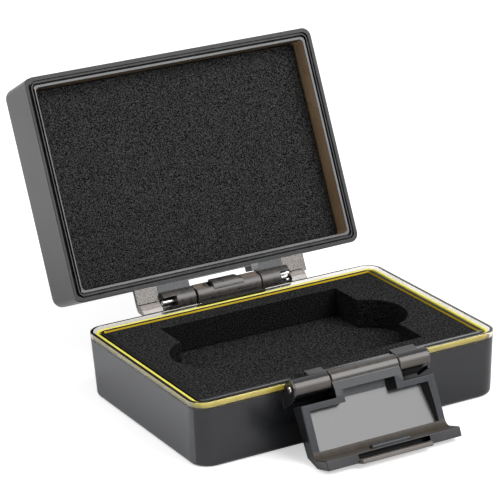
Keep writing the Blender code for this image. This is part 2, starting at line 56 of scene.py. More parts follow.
GROOVE_FLOOR = 0.0178
LIP_START = 0.0032
LIP_END = 0.00415
LIP_TOP = 0.0195
SEAL_GLOW_START = 0.0160
BASE_FLOOR = 0.0030
HINGE_Y = 0.0400
HINGE_Z = 0.02075
LATCH_Y = -0.0392
LATCH_Z = 0.0194
HINGE_RADIUS = 0.0033
KNUCKLE_RADIUS = 0.0029
BORE_RADIUS = 0.0012


def let_go():
    """Leave edit mode with nothing selected."""
    if bpy.context.mode != "OBJECT":
        bpy.ops.object.mode_set(mode="OBJECT")
    bpy.ops.object.select_all(action="DESELECT")


def take(piece):
    """Make one piece the only selected and the active one."""
    let_go()
    piece.select_set(True)
    bpy.context.view_layer.objects.active = piece
    return piece


def pick(piece, wanted):
    """Select the mesh points that a test names, and go into edit mode with them."""
    take(piece)
    mesh = piece.data
    for group in (mesh.polygons, mesh.edges):
        group.foreach_set("select", [False] * len(group))
    for vertex in mesh.vertices:
        vertex.select = wanted(vertex)
    bpy.ops.object.mode_set(mode="EDIT")
    bpy.ops.mesh.select_mode(type="VERT")


def moved(piece, wanted, shift):
    """Move the mesh points that a test names along X."""
    pick(piece, wanted)
    bpy.ops.transform.translate(value=(shift, 0, 0))
    let_go()


def face_out():
    """Turn every face of the edited mesh outwards and go back to object mode."""
    bpy.ops.mesh.select_all(action="SELECT")
    bpy.ops.mesh.normals_make_consistent(inside=False)
    let_go()


def at_origin(piece):
    """Bring a piece's place, turn and size into its mesh, so that its own origin is the frame's."""
    take(piece)
    bpy.ops.object.transform_apply(location=True, rotation=True, scale=True)
    return piece


def stacked(name, levels, is_ring=False, corner_steps=10):
    """Skin rounded rectangles, each given as its inset from the rim, its height and its radius."""
    let_go()
    for number, (inset, height, radius) in enumerate(levels):
        step = number * RIM_HALF_Y / 2
        bpy.ops.mesh.primitive_plane_add(size=2, location=(0, 0, step))
        if number == 0:
            piece = bpy.context.object
            piece.name = name
            bpy.ops.object.mode_set(mode="EDIT")
        half = (RIM_HALF_X - inset, RIM_HALF_Y - inset, 1)
        bpy.ops.transform.resize(value=half, center_override=(0, 0, step))
        bpy.ops.mesh.bevel(offset=radius, segments=corner_steps, affect="VERTICES")
        bpy.ops.mesh.delete(type="ONLY_FACE")
        bpy.ops.mesh.select_all(action="DESELECT")
    loop = 4 * (corner_steps + 1)
    count = len(levels)
    for number in range(count if is_ring else count - 1):
        pair = (number, (number + 1) % count)
        pick(piece, lambda vertex: vertex.index // loop in pair)
        bpy.ops.mesh.bridge_edge_loops()
    if not is_ring:
        for end in (0, count - 1):
            pick(piece, lambda vertex: vertex.index // loop == end)
            bpy.ops.mesh.edge_face_add()
    let_go()
    for vertex in piece.data.vertices:
        vertex.co.z = levels[vertex.index // loop][1]
    pick(piece, lambda vertex: True)
    face_out()
    return at_origin(piece)


def drawn(name, outline, start, end):
    """Draw a (y, z) outline point by point and pull it out along X."""
    let_go()
    here = Vector((start, *outline[0]))
    bpy.ops.mesh.primitive_plane_add(size=0.001, location=here)
    piece = bpy.context.object
    piece.name = name
    bpy.ops.object.mode_set(mode="EDIT")
    bpy.ops.mesh.merge(type="CENTER")
    for point in outline[1:]:
        there = Vector((start, *point))
        bpy.ops.mesh.extrude_region_move(TRANSFORM_OT_translate={"value": there - here})
        here = there
    bpy.ops.mesh.select_all(action="SELECT")
    bpy.ops.mesh.edge_face_add()
    pull = (end - start, 0, 0)
    bpy.ops.mesh.extrude_region_move(TRANSFORM_OT_translate={"value": pull})
    face_out()
    return at_origin(piece)


def block(name, xs, ys, zs):
    """A straight-sided block between three pairs of limits."""
    outline = ((ys[0], zs[0]), (ys[1], zs[0]), (ys[1], zs[1]), (ys[0], zs[1]))
    return drawn(name, outline, *xs)


def finished(piece, *finishes, choice=None):
    """Give a piece its finishes, and each face the one that a choice names for it."""
    for finish in finishes:
        piece.data.materials.append(finish)
    if choice:
        for face in piece.data.polygons:
            face.material_index = finishes.index(choice(face))
    return piece


def eased(piece, width, steps=2, angle=30):
    """Round every edge that is sharper than an angle."""
    take(piece)
    rounding = piece.modifiers.new("Rounding", "BEVEL")
    rounding.width = width
    rounding.segments = steps
    rounding.limit_method = "ANGLE"
    rounding.angle_limit = math.radians(angle)
    bpy.ops.object.modifier_apply(modifier=rounding.name)
    return piece


def barrel(name, radius, start, end, y, z, edge=0.0, sides=56):
    """A round bar along X, with its ends rounded over where an edge is given."""
    let_go()
    place = ((start + end) / 2, y, z)
    bpy.ops.mesh.primitive_cylinder_add(
        vertices=sides, radius=radius, depth=end - start, location=place,
        rotation=(0, math.pi / 2, 0))
    piece = at_origin(bpy.context.object)
    piece.name = name
    return eased(piece, edge, 3, 60) if edge else piece


def merged(body, tool, operation="UNION"):
    """Weld a tool to a body, or cut it out, with the tool's own material on its faces."""
    take(body)
    step = body.modifiers.new("Join", "BOOLEAN")
    step.operation = operation
    step.solver = "EXACT"
    step.material_mode = "TRANSFER"
    step.object = tool
    bpy.ops.object.modifier_apply(modifier=step.name)
    bpy.data.objects.remove(tool)
    return body


def carved(body, tool):
    """Cut a tool out of a body."""
    return merged(body, tool, "DIFFERENCE")


def settled(piece, angle=32):
    """Shade a finished piece smooth apart from its real edges, with its flat faces kept flat."""
    take(piece)
    bpy.ops.object.shade_smooth_by_angle(angle=math.radians(angle))
    flat_faces = piece.modifiers.new("Flat faces", "WEIGHTED_NORMAL")
    flat_faces.weight = 100
    flat_faces.keep_sharp = True
    bpy.ops.object.modifier_apply(modifier=flat_faces.name)
    let_go()
    return piece


def effect(name, inputs, outputs):
    """Start a shader node group with named number sockets."""
    group = bpy.data.node_groups.new(name, "ShaderNodeTree")
    for label, value in inputs.items():
        socket = group.interface.new_socket(label, in_out="INPUT", socket_type="NodeSocketFloat")
        socket.default_value = value
    for label in outputs:
        group.interface.new_socket(label, in_out="OUTPUT", socket_type="NodeSocketFloat")
    return group, group.nodes.new("NodeGroupInput"), group.nodes.new("NodeGroupOutput")


def noise(tree, scale, detail=2.0, roughness=0.5, stretch=None):
    """A noise pattern on Object coordinates, whose scale is a number or a socket."""
    place = tree.nodes.new("ShaderNodeTexCoord").outputs["Object"]
    if stretch:
        mapping = tree.nodes.new("ShaderNodeMapping")
        mapping.inputs["Scale"].default_value = stretch
        tree.links.new(place, mapping.inputs["Vector"])
        place = mapping.outputs["Vector"]
    pattern = tree.nodes.new("ShaderNodeTexNoise")
    pattern.inputs["Detail"].default_value = detail
    pattern.inputs["Roughness"].default_value = roughness
    tree.links.new(place, pattern.inputs["Vector"])
    if isinstance(scale, (int, float)):
        pattern.inputs["Scale"].default_value = scale
    else:
        tree.links.new(scale, pattern.inputs["Scale"])
    return pattern.outputs["Fac"]


def remap(tree, value, low, high, to_low=0.0, to_high=1.0):
    """Spread part of a pattern's range over another range."""
    node = tree.nodes.new("ShaderNodeMapRange")
    node.inputs["From Min"].default_value = low
    node.inputs["From Max"].default_value = high
    node.inputs["To Min"].default_value = to_low
    node.inputs["To Max"].default_value = to_high
    tree.links.new(value, node.inputs["Value"])
    return node.outputs["Result"]


def maths(tree, operation, first, second):
    """One step of arithmetic between sockets or numbers."""
    node = tree.nodes.new("ShaderNodeMath")
    node.operation = operation
    for socket, value in zip(node.inputs, (first, second)):
        if isinstance(value, (int, float)):
            socket.default_value = value
        else:
            tree.links.new(value, socket)
    return node.outputs["Value"]


def blended(tree, factor, dark, light):
    """A colour between two, by a factor socket. Each colour is a triple or a socket."""
    node = tree.nodes.new("ShaderNodeMix")
    node.data_type = "RGBA"
    tree.links.new(factor, node.inputs["Factor"])
    for label, colour in (("A", dark), ("B", light)):
        socket = [item for item in node.inputs if item.name == label and item.type == "RGBA"][0]
        if isinstance(colour, tuple):
            socket.default_value = (*colour, 1)
        else:
            tree.links.new(colour, socket)
    return [item for item in node.outputs if item.type == "RGBA"][0]


def new_finish(name, roughness, metallic=0.0):
    """A new material, its node tree and its shader."""
    made = bpy.data.materials.new(name)
    made.use_nodes = True
    shader = made.node_tree.nodes["Principled BSDF"]
    shader.inputs["Roughness"].default_value = roughness
    shader.inputs["Metallic"].default_value = metallic
    return made, made.node_tree, shader


def roughened(tree, shader, height, distance, strength=1.0):
    """Feed a height pattern to the shader's normal through a bump."""
    bump = tree.nodes.new("ShaderNodeBump")
    bump.inputs["Distance"].default_value = distance
    bump.inputs["Strength"].default_value = strength
    tree.links.new(height, bump.inputs["Height"])
    tree.links.new(bump.outputs["Normal"], shader.inputs["Normal"])


# The skin that spark-eroded moulds leave on plastic: a fine even grain, faint flow clouds and a
# scatter of dust, each as a pattern from nought to one.
moulded_skin, skin_in, skin_out = effect(
    "moulded_skin", {"Grain": 5200.0, "Clouds": 55.0}, ("Height", "Cloud", "Dust"))
grain = noise(moulded_skin, skin_in.outputs["Grain"], 3.0, 0.6)
moulded_skin.links.new(grain, skin_out.inputs["Height"])
cloud = noise(moulded_skin, skin_in.outputs["Clouds"], 3.0, 0.55)
moulded_skin.links.new(remap(moulded_skin, cloud, 0.32, 0.68), skin_out.inputs["Cloud"])
dust = remap(moulded_skin, noise(moulded_skin, 2100.0, 1.0), 0.71, 0.78)
moulded_skin.links.new(dust, skin_out.inputs["Dust"])

# Wear along outer edges, where handling polishes the plastic and rubs it paler.
rubbed_edge, rub_in, rub_out = effect("rubbed_edge", {"Width": 0.0004}, ("Mask",))
edge_normal = rubbed_edge.nodes.new("ShaderNodeBevel")
edge_normal.samples = 4
rubbed_edge.links.new(rub_in.outputs["Width"], edge_normal.inputs["Radius"])
true_normal = rubbed_edge.nodes.new("ShaderNodeNewGeometry")
turned = rubbed_edge.nodes.new("ShaderNodeVectorMath")
turned.operation = "DOT_PRODUCT"
rubbed_edge.links.new(edge_normal.outputs["Normal"], turned.inputs[0])
rubbed_edge.links.new(true_normal.outputs["Normal"], turned.inputs[1])
rub = remap(rubbed_edge, turned.outputs["Value"], 0.99, 0.80)
rub = maths(rubbed_edge, "MULTIPLY", rub, remap(rubbed_edge, noise(rubbed_edge, 420.0), 0.3, 0.6))
rubbed_edge.links.new(rub, rub_out.inputs["Mask"])


def placed_effect(tree, group, **values):
    """Put an effect into a material with its own values."""
    node = tree.nodes.new("ShaderNodeGroup")
    node.node_tree = group
    for label, value in values.items():
        node.inputs[label].default_value = value
    return node.outputs


DUST_GREY, DUST_SHARE = (0.20, 0.20, 0.20), 0.12
WORN_GREY, WORN_SHARE = (0.13, 0.13, 0.135), 0.5


def smoke_plastic(name, colour, cloud_colour, roughness, grain_depth=0.000006, grain=5200.0,
                  index=1.52, clouds=55.0):
    """Smoke-grey polycarbonate with a moulded satin skin."""
    made, tree, shader = new_finish(name, roughness)
    shader.inputs["IOR"].default_value = index
    skin = placed_effect(tree, moulded_skin, Grain=grain, Clouds=clouds)
    worn = placed_effect(tree, rubbed_edge)
    tone = blended(tree, skin["Cloud"], colour, cloud_colour)
    tone = blended(tree, maths(tree, "MULTIPLY", skin["Dust"], DUST_SHARE), tone, DUST_GREY)
    tone = blended(tree, maths(tree, "MULTIPLY", worn["Mask"], WORN_SHARE), tone, WORN_GREY)
    tree.links.new(tone, shader.inputs["Base Color"])
    gloss = remap(tree, skin["Cloud"], 0, 1, roughness - 0.04, roughness + 0.05)
    tree.links.new(gloss, shader.inputs["Roughness"])
    roughened(tree, shader, skin["Height"], grain_depth)
    return made


def clear_plastic(name, tint, roughness):
    """The same plastic where it is thin or polished enough to see through."""
    made, tree, shader = new_finish(name, roughness)
    shader.inputs["Transmission Weight"].default_value = 1.0
    shader.inputs["IOR"].default_value = 1.50
    skin = placed_effect(tree, moulded_skin, Clouds=90.0)
    darker = tuple(channel * 0.86 for channel in tint)
    tree.links.new(blended(tree, skin["Cloud"], darker, tint), shader.inputs["Base Color"])
    roughened(tree, shader, skin["Height"], 0.000002)
    return made


base_smoke = smoke_plastic("base_smoke", (0.008, 0.0085, 0.0105), (0.011, 0.0115, 0.0140), 0.20)
# A paler copy of the base's plastic: painted sheen on the side walls and on the lip's front.
side_painted_sheen = smoke_plastic("side_painted_sheen", (0.034, 0.036, 0.043), (0.040, 0.042, 0.050), 0.22,
                           index=1.66)
rim_clear = clear_plastic("rim_clear", (0.78, 0.77, 0.78), 0.05)
rim_satin = clear_plastic("rim_satin", (0.80, 0.76, 0.66), 0.22)
# Tinted copies of the clear rim: painted cool light at the right and back, warm glow in front.
rim_painted_cool = clear_plastic("rim_painted_cool", (0.70, 0.68, 0.64), 0.22)
rim_painted_warm = clear_plastic("rim_painted_warm", (0.98, 0.86, 0.68), 0.22)
# Painted amber: the glow of the yellow seal seen through the clear lip.
lip_painted_seal_glow = smoke_plastic("lip_painted_seal_glow", (0.62, 0.42, 0.012), (0.78, 0.55, 0.030), 0.25)
latch_gloss = smoke_plastic("latch_gloss", (0.006, 0.006, 0.007), (0.010, 0.010, 0.011), 0.14)
# Painted light: the brown of light coming through the plastic, on the middle barrel's ledges.
ledge_painted_light = smoke_plastic("ledge_painted_light", (0.13, 0.105, 0.085), (0.19, 0.155, 0.13), 0.35)
shade_black = smoke_plastic("shade_black", (0.002, 0.002, 0.002), (0.004, 0.004, 0.004), 0.5,
                            index=1.2)
# A brown copy of the plastic for the painted sheen round the front of each knuckle.
knuckle_painted_sheen = smoke_plastic("knuckle_painted_sheen", (0.050, 0.043, 0.038), (0.074, 0.064, 0.056), 0.33,
                              0.00002, 3600.0)
hinge_smoke = smoke_plastic("hinge_smoke", (0.018, 0.018, 0.019), (0.062, 0.050, 0.044), 0.30,
                            0.00003, 3000.0, clouds=700.0)


def base_wall_levels():
    """The wall's profile, from the foot up the outside, over the groove and down inside.

    Each level is an inset from the rim's outline, a height and a corner radius.
    """
    levels = []
    foot, draft, foot_corner, foot_steps = 0.0014, 0.0004, 0.0062, 6
    for step in range(foot_steps):
        angle = math.radians(90 / (foot_steps - 1) * step)
        drawn_in = foot * (1 - math.sin(angle))
        levels.append((draft + drawn_in, foot * (1 - math.cos(angle)), foot_corner - drawn_in))
    rim_edge, rim_low = 0.00012, BASE_TOP - 0.00015
    lip_low = LIP_TOP - 0.0001
    levels += [(0.00005, GROOVE_FLOOR, RIM_CORNER), (0, rim_low, RIM_CORNER),
               (rim_edge, BASE_TOP, 0.0049), (RIM_WALL - rim_edge, BASE_TOP, 0.0042),
               (RIM_WALL, rim_low, 0.0041), (RIM_WALL, GROOVE_FLOOR, 0.0041),
               (LIP_START, GROOVE_FLOOR, 0.0018), (LIP_START, lip_low, 0.0018),
               (LIP_START + rim_edge, LIP_TOP, 0.0017), (LIP_END - rim_edge, LIP_TOP, 0.0011),
               (LIP_END, lip_low, 0.0010), (LIP_END, SEAL_GLOW_START, 0.0010),
               (LIP_END, BASE_FLOOR, 0.0010)]
    return levels


def rim_inset(point, corner):
    """How far a point lies in from the rim's outline, whose corners have one radius."""
    over_x = abs(point.x) - (RIM_HALF_X - corner)
    over_y = abs(point.y) - (RIM_HALF_Y - corner)
    if over_x > 0 and over_y > 0:
        return corner - math.hypot(over_x, over_y)
    return corner - max(over_x, over_y)


def groove_finish(middle, inset):
    """The seal's groove and the lip beside it get painted shade; the lip's front a painted sheen.
    """
    is_front_lip = inset > LIP_START - 0.0001 and middle.y < LIP_END + 0.00005 - RIM_HALF_Y
    return side_painted_sheen if is_front_lip else shade_black


def rim_finish(middle, normal):
    """Painted light on the clear rim: shade atop the left, cool right and back, warm in front."""
    if normal.z > 0.3 and middle.x < RIM_BAND - RIM_HALF_X:
        return shade_black
    if middle.x > RIM_HALF_X - RIM_BAND or middle.y > RIM_HALF_Y - RIM_BAND:
        return rim_painted_cool
    return rim_painted_warm if middle.y < RIM_BAND - RIM_HALF_Y else rim_satin


def base_finish(face):
    """The finish of a face of the base's wall, by where it lies."""
    middle, normal = face.center, face.normal
    inset = rim_inset(middle, RIM_CORNER)
    if middle.z > GROOVE_FLOOR - 0.0001 and inset < LIP_END - 0.00005:
        is_inner_side = 0.0009 < inset < RIM_BAND and middle.z > GROOVE_FLOOR + 0.0001
        if is_inner_side and abs(normal.z) < 0.3:
            return rim_clear
        return groove_finish(middle, inset) if inset > RIM_BAND else rim_finish(middle, normal)
    # The lip's inner side gets the painted glow of the seal seen through it.
    if middle.z > SEAL_GLOW_START + 0.0005 and abs(normal.z) < 0.9:
        return lip_painted_seal_glow
    # The side walls get the paler copy, a painted sheen where they catch the light.
    return side_painted_sheen if abs(normal.x) > 0.9 and inset < RIM_BAND else base_smoke


base_shell = finished(stacked("case_base", base_wall_levels()), base_smoke, rim_clear, rim_satin,
                      lip_painted_seal_glow, side_painted_sheen, shade_black, rim_painted_cool, rim_painted_warm, choice=base_finish)

# The middle hinge barrel stands on a web behind the back wall. Its top is cut back to a ledge
# on both sides of a hump, which stops the lid.
BARREL_HALF = 0.0110
wall_y = RIM_HALF_Y - 0.0003
web_top = BASE_TOP - 0.0007
join_top = GROOVE_FLOOR - 0.0002
clear_y = RIM_HALF_Y + 0.00025
hinge_low = HINGE_Z - HINGE_RADIUS
web_outline = ((wall_y, join_top), (wall_y, hinge_low - 0.0016), (HINGE_Y, hinge_low + 0.0004),
               (HINGE_Y, web_top), (clear_y, web_top), (clear_y, join_top))
back_web = finished(drawn("back_web", web_outline, -BARREL_HALF, BARREL_HALF), base_smoke)
eased(back_web, 0.00015)
rim_cover = block("rim_cover", (-BARREL_HALF, BARREL_HALF),
                  (RIM_HALF_Y - RIM_WALL - 0.00002, clear_y + 0.0002),
                  (GROOVE_FLOOR + 0.0002, BASE_TOP + 0.00002))
merged(back_web, finished(rim_cover, base_smoke))
middle_barrel = barrel("middle_barrel", HINGE_RADIUS, -BARREL_HALF, BARREL_HALF, HINGE_Y, HINGE_Z,
                       0.0002)
finished(middle_barrel, hinge_smoke)
HUMP_RISE = 0.0006
HUMP_FOOT, HUMP_SHOULDER = 150, 120
hump_top = HINGE_Z + HINGE_RADIUS + HUMP_RISE
hump_outline = []
for angle in range(HUMP_FOOT, 80, -10):
    share = min(1, (HUMP_FOOT - angle) / (HUMP_FOOT - HUMP_SHOULDER))
    reach = HINGE_RADIUS + HUMP_RISE * share
    hump_outline.append((HINGE_Y + reach * math.cos(math.radians(angle)),
                         HINGE_Z + reach * math.sin(math.radians(angle))))
hump_outline += [(HINGE_Y + 0.0015, HINGE_Z + 0.0036), (HINGE_Y + 0.0015, HINGE_Z)]
hump = finished(drawn("hump", hump_outline, -0.0053, 0.0036), hinge_smoke)
moved(hump, lambda vertex: vertex.co.z < hump_top - 0.0008 and vertex.co.x > 0, 0.0014)
merged(middle_barrel, eased(hump, 0.0001))
LEDGE_RISE = 0.0026
# The ledges' cut faces are painted brown as light through the plastic, a notch beside the hump
# black as shade.
for start, end, finish in ((-0.0116, -0.0074, ledge_painted_light), (0.0052, 0.0116, ledge_painted_light),
                           (-0.0068, -0.0054, shade_black)):
    ledge = block("ledge", (start, end), (HINGE_Y - 0.0060, HINGE_Y + 0.0003),
                  (HINGE_Z + LEDGE_RISE, HINGE_Z + 0.0060))
    carved(middle_barrel, finished(ledge, finish))
merged(back_web, middle_barrel)
carved(back_web, barrel("bore", BORE_RADIUS, -0.0130, 0.0130, HINGE_Y, HINGE_Z))

# Each latch knuckle sits on a triangular bracket, with raised webs behind it. A plate closes its
# outer end, takes the end of the pin, and is cut back where the lever swings past it.
SWING_HALF = 0.02185
latch_low = LATCH_Z - KNUCKLE_RADIUS
bracket_outline = ((-wall_y, join_top), (-wall_y, BASE_TOP - 0.0070),
                   (LATCH_Y - 0.0014, latch_low + 0.0004), (LATCH_Y, BASE_TOP - 0.0008),
                   (-clear_y, BASE_TOP - 0.0008), (-clear_y, join_top))
plate_outline = ((-clear_y, BASE_TOP - 0.0006), (-clear_y, join_top), (-wall_y, join_top),
                 (-wall_y, BASE_TOP - 0.0078), (LATCH_Y - 0.0016, latch_low - 0.0004),
                 (LATCH_Y - 0.0026, LATCH_Z - 0.0012), (LATCH_Y - 0.0026, LATCH_Z + 0.0012),
                 (LATCH_Y - 0.0012, LATCH_Z + 0.0026), (LATCH_Y + 0.0010, LATCH_Z + 0.0026))


def knuckle_finish(face):
    """A knuckle: painted sheen round its front, painted dark reflection above, painted shade below.
    """
    return knuckle_painted_sheen if -0.0011 < face.center.z - LATCH_Z < 0.0022 else latch_gloss


knuckles = []
for start, end, webs, plate_start, plate_end in (
        (0.0121, 0.0222, ((0.0121, 0.0200, 0.0226),), 0.0218, 0.0224),
        (-0.0221, -0.0104, ((-0.0160, -0.0104, 0.0226), (-0.0200, -0.0168, 0.0221)),
         -0.0224, -0.0219)):
    knuckle = barrel("knuckle", KNUCKLE_RADIUS, start, end, LATCH_Y, LATCH_Z, 0.0004)
    finished(knuckle, knuckle_painted_sheen, latch_gloss, choice=knuckle_finish)
    bracket = finished(drawn("bracket", bracket_outline, start, end), shade_black)
    merged(knuckle, eased(bracket, 0.00015))
    for web_start, web_end, raised_top in webs:
        raised_outline = ((-clear_y, BASE_TOP - 0.0012), (-clear_y, raised_top),
                          (LATCH_Y, LATCH_Z + KNUCKLE_RADIUS - 0.00005), (LATCH_Y, LATCH_Z))
        web = finished(drawn("web", raised_outline, web_start, web_end), latch_gloss)
        merged(knuckle, eased(web, 0.0002))
    plate = finished(drawn("end_plate", plate_outline, plate_start, plate_end), latch_gloss)
    swing_room = block("swing_room", (-SWING_HALF, SWING_HALF), (LATCH_Y - 0.0030, -RIM_HALF_Y),
                       (0.0100, 0.0144))
    carved(plate, finished(swing_room, latch_gloss))
    merged(knuckle, eased(plate, 0.00012))
    carved(knuckle, barrel("bore", BORE_RADIUS, start - 0.0020, end + 0.0020, LATCH_Y, LATCH_Z))
    knuckles.append(knuckle)
for addition in (back_web, *knuckles):
    merged(base_shell, addition)
settled(base_shell)
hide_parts("base_shell")
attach(base_shell, "base")


# Adhesive sheets
# Two thin double-sided sheets hold the foam to the floor of the base and to the lid's ceiling.
# The foam hides them, and their solids have the right shape, so they only get their finish.
sheet_glue, tree, shader = new_finish("adhesive_sheet", 0.45)
skin = placed_effect(tree, moulded_skin, Grain=2600.0, Clouds=160.0)
tree.links.new(blended(tree, skin["Cloud"], (0.48, 0.48, 0.44), (0.60, 0.60, 0.56)),
               shader.inputs["Base Color"])
roughened(tree, shader, skin["Height"], 0.00002)
for node in ("base_foam_tape", "lid_foam_tape"):
    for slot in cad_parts[node].material_slots:
        slot.material = sheet_glue


# Foam in the base
# Two die-cut layers of charcoal open-cell foam: a plain floor, and a tray on top of it with a
# pocket for four cells and a rounded finger notch at each end. Both are stuck down.
FOAM_INSET = 0.0044
FOAM_CORNER = 0.0007
FOAM_TOP = 0.0190
LAYER_INSET = 0.0045
LAYER_CORNER = 0.0008
LAYER_TOP = 0.0099
POCKET_HALF_X = 0.0301
POCKET_HALF_Y = 0.0250
POCKET_CORNER = 0.0006
CUT_LOW = 0.0090
CUT_HEIGHT = 0.0130
NOTCH_RADIUS = 0.01288
NOTCH_X = 0.0255

# Open-cell foam: a fine even grain of cell mouths darkened with painted shade, and of struts that
# catch the light.
open_cells, cell_in, cell_out = effect("open_cells", {"Cells": 2600.0}, ("Strut", "Pit"))
fine = noise(open_cells, cell_in.outputs["Cells"], 2.5, 0.62)
open_cells.links.new(remap(open_cells, fine, 0.40, 0.64), cell_out.inputs["Strut"])
cells = open_cells.nodes.new("ShaderNodeTexVoronoi")
open_cells.links.new(cell_in.outputs["Cells"], cells.inputs["Scale"])
place = open_cells.nodes.new("ShaderNodeTexCoord").outputs["Object"]
open_cells.links.new(place, cells.inputs["Vector"])
open_cells.links.new(remap(open_cells, cells.outputs["Distance"], 0.1, 0.55),
                     cell_out.inputs["Pit"])


def foam_finish(name, dark, light, cells_per_metre):
    """Charcoal open-cell foam, matt and full of fine cells darkened with painted shade."""
    made, tree, shader = new_finish(name, 0.95)
    cell = placed_effect(tree, open_cells, Cells=cells_per_metre)
    tone = blended(tree, cell["Strut"], dark, light)
    shade = remap(tree, cell["Pit"], 0, 1, 0.0, 0.55)
    tree.links.new(blended(tree, shade, tone, dark), shader.inputs["Base Color"])
    shader.inputs["Specular IOR Level"].default_value = 0.02
    height = maths(tree, "SUBTRACT", cell["Strut"], maths(tree, "MULTIPLY", cell["Pit"], 0.6))
    roughened(tree, shader, height, 0.00010)
    return made


# The pocket's walls get painted shade, darker than the face of the foam, and finer cells.
charcoal_foam = foam_finish("charcoal_foam", (0.002, 0.002, 0.002), (0.088, 0.088, 0.088), 1900.0)
shaded_cut_foam = foam_finish("shaded_cut_foam", (0.001, 0.001, 0.001), (0.040, 0.040, 0.040), 2400.0)

foam_floor = stacked("foam_floor_layer", [
    (LAYER_INSET + inwards, height, LAYER_CORNER) for inwards, height in (
        (0.0003, 0.0039), (0, 0.0042), (0, 0.0097), (0.0002, LAYER_TOP))])
finished(foam_floor, charcoal_foam)
foam_tray = stacked("foam_tray_layer", [
    (FOAM_INSET + inwards, height, FOAM_CORNER) for inwards, height in (
        (0.0002, 0.0102), (0, 0.0104), (0, FOAM_TOP - 0.0002), (0.00005, FOAM_TOP - 0.00005),
        (0.0002, FOAM_TOP))])
finished(foam_tray, charcoal_foam)
let_go()
bpy.ops.mesh.primitive_plane_add(size=2, location=(0, 0, CUT_LOW))
pocket = bpy.context.object
bpy.ops.object.mode_set(mode="EDIT")
bpy.ops.transform.resize(value=(POCKET_HALF_X, POCKET_HALF_Y, 1))
bpy.ops.mesh.bevel(offset=POCKET_CORNER, segments=5, affect="VERTICES")
bpy.ops.mesh.extrude_region_move(TRANSFORM_OT_translate={"value": (0, 0, CUT_HEIGHT)})
face_out()
at_origin(pocket)
for side in (-1, 1):
    let_go()
    bpy.ops.mesh.primitive_cylinder_add(
        vertices=96, radius=NOTCH_RADIUS, depth=CUT_HEIGHT,
        location=(side * NOTCH_X, 0, CUT_LOW + CUT_HEIGHT / 2))
    merged(pocket, at_origin(bpy.context.object))
pocket.data.materials.clear()
carved(foam_tray, finished(pocket, shaded_cut_foam, choice=lambda face: shaded_cut_foam))
eased(foam_tray, 0.00015, 2, 60)
for layer, node in ((foam_floor, "base_foam_floor"), (foam_tray, "base_foam_tray")):
    settled(layer, 40)
    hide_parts(node)
    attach(layer, "base")


# Rim seal
# A moulded yellow rubber ring with a rounded top, pressed into the groove of the base. The rim
# of the lid comes down on it all round when the case is shut.
SEAL_START = 0.0015
SEAL_END = 0.0025
SEAL_BOTTOM = 0.01785
SEAL_TOP = 0.01937
SEAL_ROUND = 0.0004
SEAL_STEPS = 5
SEAL_SHIFT = 0.0001
seal_levels = [(SEAL_START, SEAL_BOTTOM, 0.0039)]
for corner, first in ((SEAL_START + SEAL_ROUND, 180), (SEAL_END - SEAL_ROUND, 90)):
    for step in range(SEAL_STEPS):
        angle = math.radians(first - 90 / (SEAL_STEPS - 1) * step)
        inset = corner + SEAL_ROUND * math.cos(angle)
        height = SEAL_TOP + SEAL_ROUND * (math.sin(angle) - 1)
        seal_levels.append((inset, height, RIM_CORNER - inset))
seal_levels.append((SEAL_END, SEAL_BOTTOM, 0.0022))
seal = stacked("rim_seal", seal_levels, is_ring=True)
moved(seal, lambda vertex: True, SEAL_SHIFT)
yellow_rubber, tree, shader = new_finish("yellow_rubber", 0.38)
skin = placed_effect(tree, moulded_skin, Grain=6500.0, Clouds=120.0)
tone = blended(tree, skin["Cloud"], (0.76, 0.68, 0.09), (0.84, 0.78, 0.14))
tone = blended(tree, maths(tree, "MULTIPLY", skin["Dust"], 0.3), tone, (0.45, 0.40, 0.12))
tree.links.new(tone, shader.inputs["Base Color"])
shader.inputs["Subsurface Weight"].default_value = 0.15
shader.inputs["Subsurface Radius"].default_value = (0.0010, 0.0008, 0.0002)
shader.inputs["Subsurface Scale"].default_value = 1.0
roughened(tree, shader, skin["Height"], 0.000008)
settled(finished(seal, yellow_rubber), 60)
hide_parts("seal_ring")
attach(seal, "base")


# Lid shell
# The upper half, moulded like the base and 1.1 mm smaller all round. Its rim is a flat sealing
# face with two fine grooves, and its top edge is stepped for the latch. Behind it stands a leaf
# with two barrels, two stop lobes and a gusset, which turns with the pin in the base's barrel.
LID_RIM = 0.0202
LID_TOP = 0.0418
LID_CEILING = 0.0396
LID_ROUND = 0.0020
LID_STEPS = 9
LID_CORNER = 0.0045
LID_WIDE_START = 0.0278
LID_BACK = 0.0346
LID_ANGLE = -113.33
LEFT_LEAN = 0.0010
LEFT_INWARDS = 0.0004
LEAF_BOTTOM = 0.0203
LEAF_TOP = 0.0218
SEAT_FLOOR = 0.0398
SEAT_BACK = -0.0267
SEAT_FRONT = -0.0380
SEAT_HALF = 0.0223
CUT_TOP = 0.0440

lid_smoke = smoke_plastic("lid_smoke", (0.010, 0.0103, 0.012), (0.014, 0.0143, 0.0165), 0.22)
lid_band = smoke_plastic("lid_band", (0.010, 0.010, 0.011), (0.020, 0.020, 0.022), 0.42, 0.00002,
                         index=1.36)
# Painted brown glow of light through the lid's walls, and a darker copy as painted shade.
lid_inner_painted_glow = smoke_plastic("lid_inner_painted_glow", (0.31, 0.205, 0.115), (0.40, 0.275, 0.17), 0.26)
lid_shade = smoke_plastic("lid_shade", (0.075, 0.052, 0.032), (0.105, 0.074, 0.048), 0.40,
                          index=1.3)
leaf_smoke = smoke_plastic("leaf_smoke", (0.016, 0.018, 0.022), (0.052, 0.055, 0.062), 0.30,
                           index=1.42, clouds=600.0)


